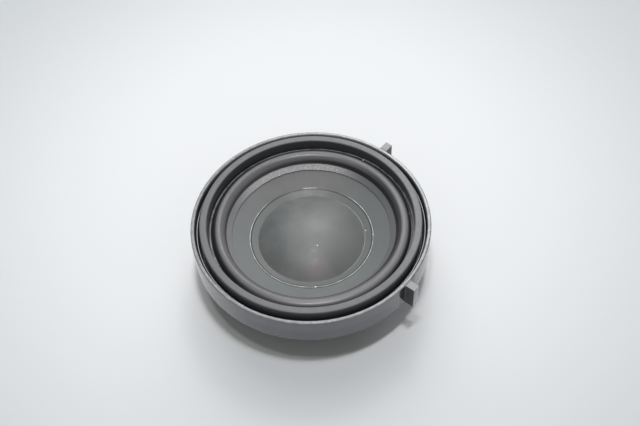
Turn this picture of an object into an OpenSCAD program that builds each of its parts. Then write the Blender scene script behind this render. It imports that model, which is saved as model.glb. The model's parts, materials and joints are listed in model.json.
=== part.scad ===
// Dashboard speaker: a slim round loudspeaker driver in a plastic mounting ring.
// Millimetres. The origin is on the axis, at the back face of the magnet cup, with +Z towards the front.
// Sizes run outwards from the voice coil and upwards from the cup's back, so each piece follows its seat.

/* [Voice coil and magnet] */
// Inside radius of the coil former
coil_r = 12.5; // [9:0.5:16]
// Wall of the coil former
former_t = 0.2; // [0.1:0.05:0.4]
// Wall of the paper collar that the cone and spider are glued to
collar_t = 0.2; // [0.1:0.05:0.4]
// Radial thickness of the coil winding
winding_t = 0.45; // [0.3:0.05:0.8]
// Height of the coil winding
winding_h = 3.2; // [2.4:0.2:6]
// Bare end of the former below the winding
former_tail = 0.2; // [0.1:0.1:1]
// Bare former above the cone's neck
former_head = 1.5; // [0.5:0.25:3]
// Running clearance on each side of the coil
gap_clear = 0.3; // [0.2:0.05:0.6]
// Travel of the coil each way from rest
coil_travel = 2; // [1:0.25:4]
// Clearance left at the end of the inward travel
stop_clear = 0.5; // [0.3:0.1:1.5]
// Thickness of the pole plate
plate_t = 2.2; // [1.5:0.1:4]
// How far the magnet's edge sits inside the pole plate's
magnet_inset = 0.7; // [0.2:0.1:2]
// Side wall of the magnet cup
cup_wall = 3.2; // [2:0.2:5]
// Floor of the magnet cup
cup_floor = 2.2; // [1.5:0.1:4]
// Step outwards at the foot of the magnet cup
cup_step = 1.5; // [1.3:0.1:4]
// Radius of the turned recess in the cup's back
cup_recess_r = 6; // [3:0.5:9]
// Depth of the turned recess
cup_recess_h = 0.5; // [0.2:0.1:1]

/* [Spider] */
// Outer radius of the spider
spider_r = 25.5; // [22:0.5:30]
// Thickness of the spider's cloth
spider_t = 0.4; // [0.3:0.05:0.8]
// Half the height of the spider's corrugations
spider_wave = 0.6; // [0.3:0.1:1]
// Number of corrugations
spider_rolls = 4; // [3:1:6]
// Flat glued rim at the outside of the spider
spider_rim = 2.2; // [1.5:0.1:3]
// Flat glued rim at the inside of the spider
spider_neck = 1; // [0.6:0.1:1.6]

/* [Diaphragm] */
// Height of the cone's neck above the spider
neck_rise = 0.8; // [0.7:0.1:3]
// Slope of the cone
cone_slope = 25.5; // [18:0.5:35]
// Thickness of the cone
cone_t = 0.4; // [0.3:0.05:0.8]
// Distance from the cone's neck to its eyelets, where the dust cap leaves that room
eyelet_reach = 4.6; // [3.5:0.1:6]
// Least distance from the eyelets out to the edge of the dome
eyelet_inset = 2.2; // [1.9:0.1:3]
// Radius where the surround's glued skirt begins
cone_r = 30; // [27:0.5:40]
// Width of the flare under the surround's skirt
flare_w = 2.1; // [1.5:0.1:3]
// Rise of the flare
flare_rise = 1.6; // [1:0.1:2.4]
// Radius of the dust cap's dome
cap_r = 20.3; // [18:0.1:22]
// Width of the dust cap's glued flange
cap_flange = 3.4; // [2:0.1:4.5]
// Slope of the dome at its edge
cap_slope = 37; // [25:1:50]
// Thickness of the dust cap
cap_t = 0.4; // [0.3:0.05:0.8]
// Mean radius of the surround's half roll
roll_r = 2.8; // [2.2:0.1:4]
// Height of the roll's centre above its inner crease
roll_lift = 0.6; // [0.3:0.1:1.5]
// Height of the outer flat above the roll's centre
roll_rise = 0.7; // [0.3:0.1:1.2]
// Thickness of the rubber surround
surround_t = 0.4; // [0.3:0.05:0.7]

/* [Front gasket] */
// Bare flat of the surround inside the gasket
gasket_inset = 1.24; // [0.6:0.1:3]
// Width of the front gasket
gasket_w = 2.7; // [2.4:0.1:6]
// Height of the front gasket
gasket_h = 4.65; // [2:0.05:8]

/* [Basket] */
// Wall of the moulded basket
basket_t = 1.2; // [1:0.1:1.8]
// Drop from the front flange to the outer rim
rim_drop = 2.3; // [1.4:0.1:4]
// Width of the outer rim
rim_w = 0.8; // [0.5:0.1:2]
// Width of the flat around the hub
hub_flat = 1.35; // [0.8:0.05:2]
// How far the hub ends below the cup's rim
hub_drop = 0.6; // [0.3:0.1:1.5]
// Angle that each spoke covers
spoke_angle = 30; // [26:1:45]
// Depth of the web under a spoke
web_h = 1.6; // [0.8:0.1:2.4]
// Solid margin inside and outside each window
window_margin = 1.4; // [0.8:0.1:2]
// Radius of a screw boss
boss_r = 2.1; // [1.8:0.1:2.6]

/* [Mounting ring] */
// Gap between the basket's rim and the ring
ring_gap = 1.3; // [0.5:0.1:3]
// Wall of the ring's skirt
ring_wall = 1.5; // [1:0.1:3]
// Height of the ring's skirt
ring_h = 11; // [10:0.5:14]
// How far the ring's lip lies below the front gasket
lip_drop = 1.5; // [0:0.1:3]
// Thickness of the inner ledge
ledge_t = 1.7; // [1.2:0.1:2.2]
// Clearance between the ledge and the basket's bowl
ledge_clear = 0.5; // [0.3:0.1:1]
// Thickness of the foam seal when clamped
seal_t = 0.6; // [0.4:0.1:1.2]
// How far a lug reaches outside the skirt
lug_reach = 3.8; // [2:0.1:6]
// Thickness of a lug
lug_t = 2.8; // [1.5:0.1:4]
// Height of a lug
lug_h = 10.5; // [5:0.5:10.5]
// Angle from the X axis to each lug
lug_angle = 45; // [35:1:50]

/* [Screws] */
// Radius of the screw's shank
screw_r = 1.1; // [0.9:0.05:1.3]
// Radius of the screw's head
screw_head_r = 2; // [1.7:0.1:2.4]
// Height of the screw's head
screw_head_h = 1.2; // [0.8:0.1:1.3]
// Depth that the screw reaches into its boss
screw_bite = 2.4; // [1.5:0.1:2.8]

/* [Terminals] */
// Width of the pad on the basket that carries the board
pad_w = 13; // [11:0.5:14]
// Reach of the pad from the bowl
pad_reach = 6; // [5.5:0.25:7]
// Height of the pad's underside
pad_z = 11.2; // [10:0.2:12.4]
// Length of the terminal board
board_l = 10.6; // [10:0.2:11.4]
// Thickness of the terminal board
board_t = 1.2; // [0.8:0.1:1.6]
// Distance between the middles of the two tabs
tab_spacing = 9.6; // [9:0.2:11]
// Width of the positive tab
positive_w = 4.8; // [3:0.1:6]
// Width of the negative tab
negative_w = 2.8; // [2.6:0.1:4]
// Thickness of both tabs
tab_t = 0.8; // [0.5:0.1:1]
// Length of a tab outside the board
tab_out = 4; // [3:0.25:5]
// Diameter of a tinsel lead
lead_d = 0.9; // [0.6:0.1:1.2]

/* [Hidden] */
$fn = 120;

// Gap that glue fills, gap of a close fit, and gap between pieces that keep apart
glue = 0.05;
fit_clear = 0.05;
free_clear = 0.3;
// Edge break, and how far a cut runs past the face that it opens
edge = 0.3;
over = 0.3;

// Radii, from the coil outwards
former_out = coil_r + former_t;
collar_out = former_out + collar_t;
winding_out = former_out + winding_t;
neck_r = collar_out + glue;
plate_r = coil_r - gap_clear;
magnet_r = plate_r - magnet_inset;
cup_in = winding_out + gap_clear;
cup_out = cup_in + cup_wall;
cup_foot_r = cup_out + cup_step;
cap_out = cap_r + cap_flange;
crease_r = cone_r + flare_w;
roll_c = crease_r + roll_r;
gasket_in = roll_c + roll_r * cos(asin(roll_rise / roll_r)) + gasket_inset;
gasket_out = gasket_in + gasket_w;
flange_r = gasket_out - edge / 2;
rim_r = flange_r + rim_w;
ring_in = rim_r + ring_gap;
ring_r = ring_in + ring_wall;

// The eyelets' size and place, and the rise that lets the leads pass between them and the spider
eyelet_r = 0.7;
eyelet_head = 0.5;
eyelet_head_h = 0.25;
eyelet_wall = 0.25;
eyelet_at = min(neck_r + eyelet_reach, cap_r - eyelet_inset);
lead_clear = 1;
lead_gap = 0.25;
lead_end_gap = 0.1;
lead_room = spider_wave + spider_t / 2 + lead_gap + lead_d + lead_end_gap
    + 2 * eyelet_head_h + cone_t - (eyelet_at - neck_r) * tan(cone_slope);

// Heights, from the cup's back upwards
magnet_t = coil_travel + stop_clear + (winding_h - plate_t) / 2 + former_tail;
plate_z = cup_floor + magnet_t;
cup_top = plate_z + plate_t;
gap_mid = plate_z + plate_t / 2;
winding_z = gap_mid - winding_h / 2;
winding_top = winding_z + winding_h;
spider_clear = 0.1;
spider_z = cup_top + coil_travel + spider_wave + spider_t / 2 + spider_clear;
neck_z = spider_z + max(neck_rise, lead_room);
crease_z = cone_z(cone_r) + flare_rise + surround_lift();
roll_z = crease_z + roll_lift;
flat_z = roll_z + roll_rise;
flange_z = flat_z - surround_t;
gasket_top = flat_z + gasket_h;
lip_z = gasket_top - lip_drop;
rim_z = flange_z - rim_drop;
rim_bottom = rim_z - basket_t;
ledge_z = rim_bottom - seal_t;
skirt_z = lip_z - ring_h;

// The cone's front surface and the surround's height above its flare
function cone_z(r) = neck_z + (r - neck_r) * tan(cone_slope);
function surround_lift() = surround_t / cos(atan(flare_rise / flare_w)) + glue;

// A line of points set off to its right by t, with mitred corners
function right_of(a, b) = let (d = (b - a) / norm(b - a)) [d[1], -d[0]];
function corner(n, m) = (n + m) / (1 + n * m);
function set_off(p, t) = [for (i = [0:len(p) - 1])
    p[i] + t * (i == 0 ? right_of(p[0], p[1])
        : i == len(p) - 1 ? right_of(p[i - 1], p[i])
        : corner(right_of(p[i - 1], p[i]), right_of(p[i], p[i + 1])))];
function reversed(p) = [for (i = [len(p) - 1:-1:0]) p[i]];
function arc(c, r, a, b, n) = [for (i = [0:n]) c + r * [cos(a + (b - a) * i / n), sin(a + (b - a) * i / n)]];

// A turned shell between two lines of points
module turned_shell(p, q) {
    rotate_extrude() polygon(concat(p, reversed(q)));
}

// A turned ring with a rectangular section
module ring(inner, outer, z0, z1) {
    rotate_extrude() translate([inner, z0]) square([outer - inner, z1 - z0]);
}

// Basket: a moulded bowl with a hub for the cup, a spider shelf and a front flange
hub_in = cup_out + fit_clear;
hub_top = cup_top - hub_drop;
shelf_z = spider_z - spider_t / 2;
shelf_in = spider_r - spider_rim;
shelf_out = spider_r + free_clear;
floor_out = hub_in + basket_t + hub_flat;
bowl_top = roll_c + roll_r * cos(asin(roll_rise / roll_r)) - edge;
bowl_angle = atan((flange_z - shelf_z) / (bowl_top - shelf_out));
basket_line = [
    [hub_in, cup_floor],
    [hub_in, hub_top],
    [floor_out, hub_top],
    [shelf_in, shelf_z],
    [shelf_out, shelf_z],
    [bowl_top, flange_z],
    [flange_r, flange_z],
    [flange_r, rim_z],
    [rim_r, rim_z]
];

// Radius of the bowl's outside at height z
function bowl_outside(z) = shelf_out + (z - shelf_z) / tan(bowl_angle) + basket_t / sin(bowl_angle);

window_in = shelf_out + basket_t / sin(bowl_angle) + window_margin;
window_out = bowl_top - window_margin;
window_angle = 90 - spoke_angle;

// Screw bosses stand in the hollow of the flange, between the spokes' screws and the rim
boss_bite = 0.4;
boss_c = flange_r - basket_t - boss_r + boss_bite;
boss_top = flange_z - basket_t + edge;
screw_top = ledge_z + screw_bite;
ledge_bottom = ledge_z - ledge_t;
seal_in = boss_c + boss_r + fit_clear;
ledge_in = bowl_outside(ledge_z) + ledge_clear;

// A spoke's web runs under the shelf and up the bowl, and ends below the ring's ledge
web_clear = 1;
web_top = ledge_bottom - web_clear;
web_line = [[shelf_in, shelf_z], [shelf_out, shelf_z],
    [shelf_out + (web_top - shelf_z) / tan(bowl_angle), web_top]];

module at_bosses() {
    for (a = [45:90:315]) rotate(a) translate([boss_c, 0, 0]) children();
}

module basket_window(a) {
    rotate(a - window_angle / 2) rotate_extrude(angle = window_angle)
        translate([window_in, 0]) square([window_out - window_in, flange_z + basket_t]);
}

module spoke_web(a) {
    rotate(a) rotate([90, 0, 0]) translate([0, 0, -basket_t / 2]) linear_extrude(basket_t)
        polygon(concat(set_off(web_line, basket_t / 2), reversed(set_off(web_line, basket_t + web_h))));
}

// The pad stands out from the spoke on the +Y side
pad_top = pad_z + basket_t;
pad_in = bowl_outside(pad_z) - basket_t;
pad_out = pad_in + basket_t + pad_reach;
rivet_r = 1.1;
rivet_head_r = 1.9;
rivet_head_h = 0.5;
rivet_y = bowl_outside(pad_top + rivet_head_h) + rivet_head_r + fit_clear;

module basket() {
    color("#2b2c2e") difference() {
        union() {
            difference() {
                turned_shell(basket_line, set_off(basket_line, basket_t));
                for (a = [45:90:315]) basket_window(a);
            }
            for (a = [0, 180, 270]) spoke_web(a);
            at_bosses() translate([0, 0, ledge_z]) cylinder(r = boss_r, h = boss_top - ledge_z);
            translate([-pad_w / 2, pad_in, pad_z]) cube([pad_w, pad_out - pad_in, basket_t]);
        }
        at_bosses() translate([0, 0, ledge_z - over])
            cylinder(r = screw_r + fit_clear, h = screw_bite + 2 * over);
        translate([0, rivet_y, pad_z - over]) cylinder(r = rivet_r + fit_clear, h = basket_t + 2 * over);
    }
}

// Mounting ring: a skirt with a thin lip, an inner ledge and two lugs
screw_hole_r = screw_r + free_clear / 2;

module lug(a) {
    top = lip_z;
    low = lip_z - lug_h;
    far = ring_r + lug_reach;
    near = ring_r - ring_wall / 2;
    rotate(a) rotate([90, 0, 0]) translate([0, 0, -lug_t / 2]) linear_extrude(lug_t)
        polygon([[near, low], [far - edge, low], [far, low + edge], [far, top - edge], [far - edge, top],
            [near, top]]);
}

module mounting_ring() {
    color("#3a3b3e") difference() {
        union() {
            rotate_extrude() polygon([
                [ring_in, skirt_z], [ring_r - edge, skirt_z], [ring_r, skirt_z + edge],
                [ring_r, lip_z - edge], [ring_r - edge, lip_z], [ring_in + edge, lip_z],
                [ring_in, lip_z - edge], [ring_in, ledge_z], [ledge_in, ledge_z],
                [ledge_in, ledge_bottom], [ring_in, ledge_bottom]
            ]);
            for (a = [-lug_angle, lug_angle]) lug(a);
        }
        at_bosses() translate([0, 0, ledge_bottom - over]) cylinder(r = screw_hole_r, h = ledge_t + 2 * over);
    }
}

module basket_seal() {
    color("#1d1d1f") ring(seal_in, rim_r, ledge_z, rim_bottom);
}

// Pan head screws with a cross recess, put in from behind
recess_rim = 0.8;
recess_w = 0.55;
recess_floor = 0.5;

module basket_screws() {
    recess_l = 2 * (screw_head_r - recess_rim);
    recess_h = screw_head_h - recess_floor;
    head_z = ledge_bottom - screw_head_h;
    color("#8f9296") at_bosses() difference() {
        union() {
            translate([0, 0, ledge_bottom]) cylinder(r = screw_r, h = screw_top - ledge_bottom);
            translate([0, 0, head_z + edge]) cylinder(r = screw_head_r, h = screw_head_h - edge);
            translate([0, 0, head_z]) cylinder(r1 = screw_head_r - edge, r2 = screw_head_r, h = edge);
        }
        for (a = [0, 90]) rotate(a) translate([-recess_l / 2, -recess_w / 2, head_z - over])
            cube([recess_l, recess_w, recess_h + over]);
    }
}

// Front gasket: a square section ring with broken edges, on the surround's flat
module front_gasket() {
    color("#2f3032") rotate_extrude() polygon([
        [gasket_in, flat_z], [gasket_out, flat_z], [gasket_out, gasket_top - edge],
        [gasket_out - edge, gasket_top], [gasket_in + edge, gasket_top], [gasket_in, gasket_top - edge]
    ]);
}

// Surround: an outer flat, a half roll and a glued skirt, in one rubber moulding
roll_steps = 28;
surround_line = concat(
    [[flange_r - edge, flat_z]],
    arc([roll_c, roll_z], roll_r, asin(roll_rise / roll_r), 180, roll_steps),
    [[crease_r, crease_z], [cone_r, crease_z - flare_rise]]
);

module surround() {
    color("#222326") turned_shell(surround_line, set_off(surround_line, -surround_t));
}

// Cone: a straight cone with a steeper flare under the surround's skirt
eyelet_angle = 15;
cone_line = [[neck_r, neck_z], [cone_r, cone_z(cone_r)],
    [crease_r - edge, cone_z(cone_r) + flare_rise * (flare_w - edge) / flare_w]];

module on_cone(r, a) {
    rotate(a) translate([r, 0, cone_z(r)]) rotate([0, -cone_slope, 0]) children();
}

module at_eyelets() {
    for (s = [-1, 1]) on_cone(eyelet_at, 90 + s * eyelet_angle) children();
}

module cone() {
    color("#6f7372") difference() {
        turned_shell(cone_line, set_off(cone_line, cone_t));
        at_eyelets() translate([0, 0, -cone_t - over])
            cylinder(r = eyelet_r + fit_clear, h = cone_t + 2 * over);
    }
}

// Dust cap: a dome on a flange that lies along the cone
cap_radius = cap_r / sin(cap_slope);
cap_foot = [cap_r, cone_z(cap_r) + glue];
cap_center = cap_foot - cap_radius * [sin(cap_slope), cos(cap_slope)];
cap_steps = 20;
cap_flange_normal = [-sin(cone_slope), cos(cone_slope)];
cap_dome_normal = [sin(cap_slope), cos(cap_slope)];

module dust_cap() {
    rim = [cap_out, cone_z(cap_out) + glue];
    under = concat([rim, cap_foot],
        arc(cap_center, cap_radius, 90 - cap_slope + cap_slope / cap_steps, 90, cap_steps - 1));
    over = concat([rim + cap_t * cap_flange_normal,
            cap_foot + cap_t * corner(cap_flange_normal, cap_dome_normal)],
        arc(cap_center, cap_radius + cap_t, 90 - cap_slope + cap_slope / cap_steps, 90, cap_steps - 1));
    color("#5f6464") turned_shell(under, over);
}

// Moving coil: the former, its paper collar in two halves, and the winding
slit_angle = 5;

module coil_former() {
    color("#c9b27c") ring(coil_r, former_out, winding_z - former_tail, neck_z + former_head);
}

module coil_collar() {
    collar_top = neck_z + former_head / 2;
    collar_low = winding_top + free_clear;
    color("#a8845a") for (s = [0, 1]) rotate(90 - eyelet_angle + slit_angle / 2 + s * 2 * eyelet_angle)
        rotate_extrude(angle = (s == 0 ? 2 * eyelet_angle : 360 - 2 * eyelet_angle) - slit_angle)
            translate([former_out, collar_low]) square([collar_t, collar_top - collar_low]);
}

module voice_coil() {
    color("#b0622e") ring(former_out, winding_out, winding_z, winding_top);
}

// Fine wires from the winding, up a slit in the collar and along the cone to the eyelets
module coil_leads() {
    wire_r = collar_t / 2;
    wire_c = former_out + wire_r;
    bend_z = cone_z(neck_r) + 2 * wire_r;
    run = eyelet_at - eyelet_r - eyelet_head - neck_r;
    color("#b8743a") for (s = [-1, 1]) rotate(90 + s * eyelet_angle) {
        translate([wire_c, 0, winding_top]) cylinder(r = wire_r, h = bend_z - winding_top + wire_r);
        translate([wire_c, 0, bend_z]) rotate([0, 90 - cone_slope, 0])
            cylinder(r = wire_r, h = run / cos(cone_slope));
    }
}

// Hollow rivets through the cone, where the fine wires meet the tinsel leads
module cone_eyelets() {
    bore_r = eyelet_r - eyelet_wall;
    wide_r = eyelet_r + eyelet_head;
    grip = cone_t + 2 * fit_clear;
    color("#c8a45a") at_eyelets() difference() {
        translate([0, 0, -grip + fit_clear]) union() {
            cylinder(r = eyelet_r, h = grip);
            translate([0, 0, -eyelet_head_h]) cylinder(r = wide_r, h = eyelet_head_h);
            translate([0, 0, grip]) cylinder(r = wide_r, h = eyelet_head_h);
        }
        translate([0, 0, -grip - eyelet_head_h - over])
            cylinder(r = bore_r, h = grip + 2 * (eyelet_head_h + over));
    }
}

// Spider: corrugated cloth from the collar to the basket's shelf
wave_steps = 12;

module spider() {
    wave_in = neck_r + spider_neck;
    wave_out = spider_r - spider_rim - edge;
    steps = spider_rolls * wave_steps;
    line = concat([[neck_r, spider_z]],
        [for (i = [0:steps]) [wave_in + (wave_out - wave_in) * i / steps,
            spider_z - spider_wave * sin(360 * spider_rolls * i / steps)]],
        [[spider_r, spider_z]]);
    color("#c49a4a") turned_shell(set_off(line, -spider_t / 2), set_off(line, spider_t / 2));
}

// Magnet system: a steel cup, a disc magnet and a pole plate
module magnet_cup() {
    color("#a9adb1") rotate_extrude() polygon([
        [0, cup_recess_h], [cup_recess_r, cup_recess_h], [cup_recess_r + edge, 0],
        [cup_foot_r - edge, 0], [cup_foot_r, edge], [cup_foot_r, cup_floor - edge],
        [cup_foot_r - edge, cup_floor], [cup_out, cup_floor], [cup_out, cup_top - edge],
        [cup_out - edge, cup_top], [cup_in, cup_top], [cup_in, cup_floor], [0, cup_floor]
    ]);
}

module magnet() {
    color("#c3c6c8") translate([0, 0, cup_floor]) cylinder(r = magnet_r, h = magnet_t);
}

module pole_plate() {
    color("#9ea2a6") rotate_extrude() polygon([
        [0, plate_z], [plate_r, plate_z], [plate_r, cup_top - edge], [plate_r - edge, cup_top], [0, cup_top]
    ]);
}

// Terminal board under the pad, with two riveted tabs that point outwards below the skirt
wing_w = 1.9;
wing_l = 2.2;
tab_margin = 0.4;
board_in = bowl_outside(pad_z) + free_clear;
board_out = board_in + board_l;
board_w = tab_spacing + max(positive_w, negative_w) + 2 * (wing_w + tab_margin);
tab_in = pad_out + free_clear;
tab_z = pad_z;
tab_rivet_y = (tab_in + board_out) / 2;
tab_rivet_r = 0.8;
tab_rivet_head_r = 1.25;
tab_rivet_head_h = 0.25;
positive_x = -tab_spacing / 2;
negative_x = tab_spacing / 2;

module terminal_board() {
    color("#8a5a34") difference() {
        translate([-board_w / 2, board_in, pad_z - board_t]) cube([board_w, board_l, board_t]);
        translate([0, rivet_y, pad_z - board_t - over])
            cylinder(r = rivet_r + fit_clear, h = board_t + 2 * over);
        for (x = [positive_x, negative_x]) translate([x, tab_rivet_y, pad_z - board_t - over])
            cylinder(r = tab_rivet_r + fit_clear, h = board_t + 2 * over);
    }
}

// A tab with a soldering wing on its outer side and a tapered tip
module tab(x, w, side) {
    tip = board_out + tab_out;
    taper = w / 4;
    difference() {
        translate([0, 0, tab_z]) linear_extrude(tab_t) union() {
            polygon([[x - w / 2, tab_in], [x + w / 2, tab_in], [x + w / 2, tip - taper],
                [x + w / 4, tip], [x - w / 4, tip], [x - w / 2, tip - taper]]);
            translate([x + side * (w + wing_w - over) / 2, tab_in + wing_l / 2])
                square([wing_w + over, wing_l], center = true);
        }
        translate([x, tab_rivet_y, tab_z - over])
            cylinder(r = tab_rivet_r + fit_clear, h = tab_t + 2 * over);
    }
}

module positive_tab() {
    color("#d0c08a") tab(positive_x, positive_w, -1);
}

module negative_tab() {
    color("#d0c08a") tab(negative_x, negative_w, 1);
}

// A tubular rivet between heights z0 and z1, with a head at each end
module rivet(r, head_r, head_h, z0, z1) {
    difference() {
        union() {
            translate([0, 0, z0 - head_h]) cylinder(r = r, h = z1 - z0 + 2 * head_h);
            translate([0, 0, z0 - head_h]) cylinder(r = head_r, h = head_h);
            translate([0, 0, z1]) cylinder(r = head_r, h = head_h);
        }
        translate([0, 0, z0 - head_h - over]) cylinder(r = r / 2, h = z1 - z0 + 2 * (head_h + over));
    }
}

module tab_rivets() {
    color("#c9ccce") for (x = [positive_x, negative_x]) translate([x, tab_rivet_y, 0])
        rivet(tab_rivet_r, tab_rivet_head_r, tab_rivet_head_h, pad_z - board_t, tab_z + tab_t);
}

module board_rivet() {
    color("#c9ccce") translate([0, rivet_y, 0])
        rivet(rivet_r, rivet_head_r, rivet_head_h, pad_z - board_t, pad_top);
}

// Solder on the two wings
solder_h = 0.5;
solder_r = 0.75;
solder_top_r = 0.55;

function wing_x(x, w, side) = x + side * (w + wing_w) / 2;

module solder_joints() {
    color("#b9bcbf") for (p = [[positive_x, positive_w, -1], [negative_x, negative_w, 1]])
        translate([wing_x(p[0], p[1], p[2]), tab_in + wing_l / 2, tab_z + tab_t])
            cylinder(r1 = solder_r, r2 = solder_top_r, h = solder_h);
}

// Tinsel leads: smooth tubes from the solder joints through the windows to the eyelets.
// A lead passes its spoke at an angle, rises over the window's inner lip and swings in below the cone.
lead_past_spoke = 5.5;
lead_swing = 3;
lead_outer_share = 0.7;
lead_rise_share = 0.35;

function mix(a, b, t) = a + (b - a) * t;
function spline(p, i, t) = 0.5 * (2 * p[i] + (p[i + 1] - p[i - 1]) * t
    + (2 * p[i - 1] - 5 * p[i] + 4 * p[i + 1] - p[i + 2]) * pow(t, 2)
    + (3 * p[i] - p[i - 1] - 3 * p[i + 1] + p[i + 2]) * pow(t, 3));
function polar(r, a, z) = [r * cos(a), r * sin(a), z];
function lead_route(x, w, side) = let (
        start = [wing_x(x, w, side), tab_in + wing_l / 2, tab_z + tab_t + solder_h + lead_d / 2],
        a = 90 - side * (spoke_angle / 2 + lead_past_spoke),
        end_r = eyelet_at + sin(cone_slope) * (cone_t + eyelet_head_h),
        end_z = cone_z(eyelet_at) - cone_t - 2 * eyelet_head_h - lead_d / 2 - lead_end_gap,
        mid_z = shelf_z + (window_in - shelf_out) * tan(bowl_angle) + lead_d / 2 + lead_clear
    ) [
        start,
        polar(mix(window_in, window_out, lead_outer_share), a + side * lead_swing / 2,
            (start[2] + mid_z) / 2),
        polar(window_in + lead_clear, a, mid_z),
        polar((window_in + end_r) / 2, a + side * lead_swing, mix(mid_z, end_z, lead_rise_share)),
        polar(end_r, 90 - side * eyelet_angle, end_z)
    ];

lead_steps = 4;
lead_sides = 8;

// One polyhedron swept along the points, with a ring of sides at each point
module swept_tube(pts, d) {
    n = len(pts);
    rings = [for (i = [0:n - 1]) let (
            t0 = pts[min(i + 1, n - 1)] - pts[max(i - 1, 0)],
            t = t0 / norm(t0),
            s0 = cross(t, [0, 0, 1]),
            s = s0 / norm(s0),
            u = cross(s, t)
        ) [for (k = [0:lead_sides - 1])
            pts[i] + d / 2 * (cos(360 * k / lead_sides) * s + sin(360 * k / lead_sides) * u)]];
    sides = [for (i = [0:n - 2], k = [0:lead_sides - 1]) let (k1 = (k + 1) % lead_sides)
        each [[i * lead_sides + k, i * lead_sides + k1, (i + 1) * lead_sides + k1],
            [i * lead_sides + k, (i + 1) * lead_sides + k1, (i + 1) * lead_sides + k]]];
    caps = [[for (k = [lead_sides - 1:-1:0]) k], [for (k = [0:lead_sides - 1]) (n - 1) * lead_sides + k]];
    polyhedron(points = [for (r = rings) each r], faces = concat(sides, caps));
}

module tinsel_lead(x, w, side) {
    p = lead_route(x, w, side);
    q = concat([2 * p[0] - p[1]], p, [2 * p[len(p) - 1] - p[len(p) - 2]]);
    pts = concat([for (i = [1:len(p) - 1], k = [0:lead_steps - 1]) spline(q, i, k / lead_steps)],
        [p[len(p) - 1]]);
    swept_tube(pts, lead_d);
}

module positive_lead() {
    color("#c98a4a") tinsel_lead(positive_x, positive_w, -1);
}

module negative_lead() {
    color("#c98a4a") tinsel_lead(negative_x, negative_w, 1);
}

mounting_ring();
basket();
basket_seal();
basket_screws();
front_gasket();
surround();
cone();
dust_cap();
coil_former();
coil_collar();
voice_coil();
coil_leads();
cone_eyelets();
spider();
magnet_cup();
magnet();
pole_plate();
terminal_board();
positive_tab();
negative_tab();
tab_rivets();
board_rivet();
positive_lead();
negative_lead();
solder_joints();
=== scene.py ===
"""A small dashboard speaker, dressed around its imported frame.

Sizes are in millimetres and become metres where a mesh is made. Turned pieces take their outline from
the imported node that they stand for, so they lie where the construction says.
"""

import json
import math
import random

import bmesh
import bpy
from mathutils import Matrix, Vector


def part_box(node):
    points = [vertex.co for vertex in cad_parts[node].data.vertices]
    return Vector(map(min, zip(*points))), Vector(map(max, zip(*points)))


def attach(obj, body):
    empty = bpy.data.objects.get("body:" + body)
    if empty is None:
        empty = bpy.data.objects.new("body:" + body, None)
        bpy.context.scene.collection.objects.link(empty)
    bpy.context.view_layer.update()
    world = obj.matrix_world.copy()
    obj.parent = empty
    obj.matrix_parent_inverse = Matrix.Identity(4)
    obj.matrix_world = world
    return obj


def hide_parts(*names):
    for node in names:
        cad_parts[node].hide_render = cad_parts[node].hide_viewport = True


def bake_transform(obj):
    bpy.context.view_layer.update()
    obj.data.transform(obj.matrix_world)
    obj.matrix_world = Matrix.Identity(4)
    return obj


MM = 0.001
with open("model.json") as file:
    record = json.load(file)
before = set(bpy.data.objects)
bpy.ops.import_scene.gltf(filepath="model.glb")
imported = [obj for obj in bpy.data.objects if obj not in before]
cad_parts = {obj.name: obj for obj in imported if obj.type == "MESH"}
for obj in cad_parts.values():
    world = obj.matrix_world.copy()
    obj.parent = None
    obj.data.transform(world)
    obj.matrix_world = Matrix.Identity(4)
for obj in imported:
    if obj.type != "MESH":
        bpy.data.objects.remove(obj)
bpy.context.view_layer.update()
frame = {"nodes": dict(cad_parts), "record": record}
nodes = frame["nodes"]

# How finely round pieces are made
TURN_STEPS = 288
SMALL_STEPS = 48
ROUND_STEPS = 5
BEVEL_STEPS = 3
SHARP_ANGLE = 32
CORNER_ANGLE = 30
MOST_OF_SIDE = 0.46

# Points closer than this are one
NEAR = 1e-6


# Camera, fitted to the photograph's circles in its 640 by 426 frame
PHOTO_W = 640
PHOTO_H = 426
FOCAL_PX = 1000
SENSOR_W = 36
CAMERA_DISTANCE = 374
CAMERA_ELEVATION = 52.65
CAMERA_AZIMUTH = -2.65
CAMERA_ROLL = 3.42
LIP_CENTRE_PX = (310.63, 220.9)


def turn_pair(a, b, angle):
    """Two axes turned in their own plane, the first towards the second."""
    return a * math.cos(angle) + b * math.sin(angle), b * math.cos(angle) - a * math.sin(angle)


def make_camera():
    """A camera that sees the lip's centre at the photograph's own place for it."""
    elevation = math.radians(CAMERA_ELEVATION)
    se, ce = math.sin(elevation), math.cos(elevation)
    lip_centre = Vector((0, 0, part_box("mounting_ring")[1].z / MM))
    place = lip_centre + CAMERA_DISTANCE * Vector((0, -ce, se))
    right, up, ahead = Vector((1, 0, 0)), Vector((0, se, ce)), Vector((0, ce, -se))
    pan = math.atan((LIP_CENTRE_PX[0] - PHOTO_W / 2) / FOCAL_PX)
    tilt = math.atan((PHOTO_H / 2 - LIP_CENTRE_PX[1]) / FOCAL_PX * math.cos(pan))
    up, right = turn_pair(up, right, math.radians(CAMERA_ROLL))
    up, ahead = turn_pair(up, ahead, tilt)
    right, ahead = turn_pair(right, ahead, pan)
    axes = Matrix((right, up, -ahead)).transposed().to_4x4()
    about = Matrix.Rotation(math.radians(CAMERA_AZIMUTH), 4, "Z")
    camera = bpy.data.objects.new("camera", bpy.data.cameras.new("camera"))
    camera.data.sensor_width = SENSOR_W
    camera.data.lens = FOCAL_PX * SENSOR_W / PHOTO_W
    camera.data.clip_start = 0.01
    camera.data.clip_end = 50
    camera.matrix_world = about @ Matrix.Translation(place * MM) @ axes
    bpy.context.scene.collection.objects.link(camera)
    bpy.context.scene.camera = camera


make_camera()


# Mesh helpers
def link(name, mesh):
    piece = bpy.data.objects.new(name, mesh)
    bpy.context.scene.collection.objects.link(piece)
    return piece


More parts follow.
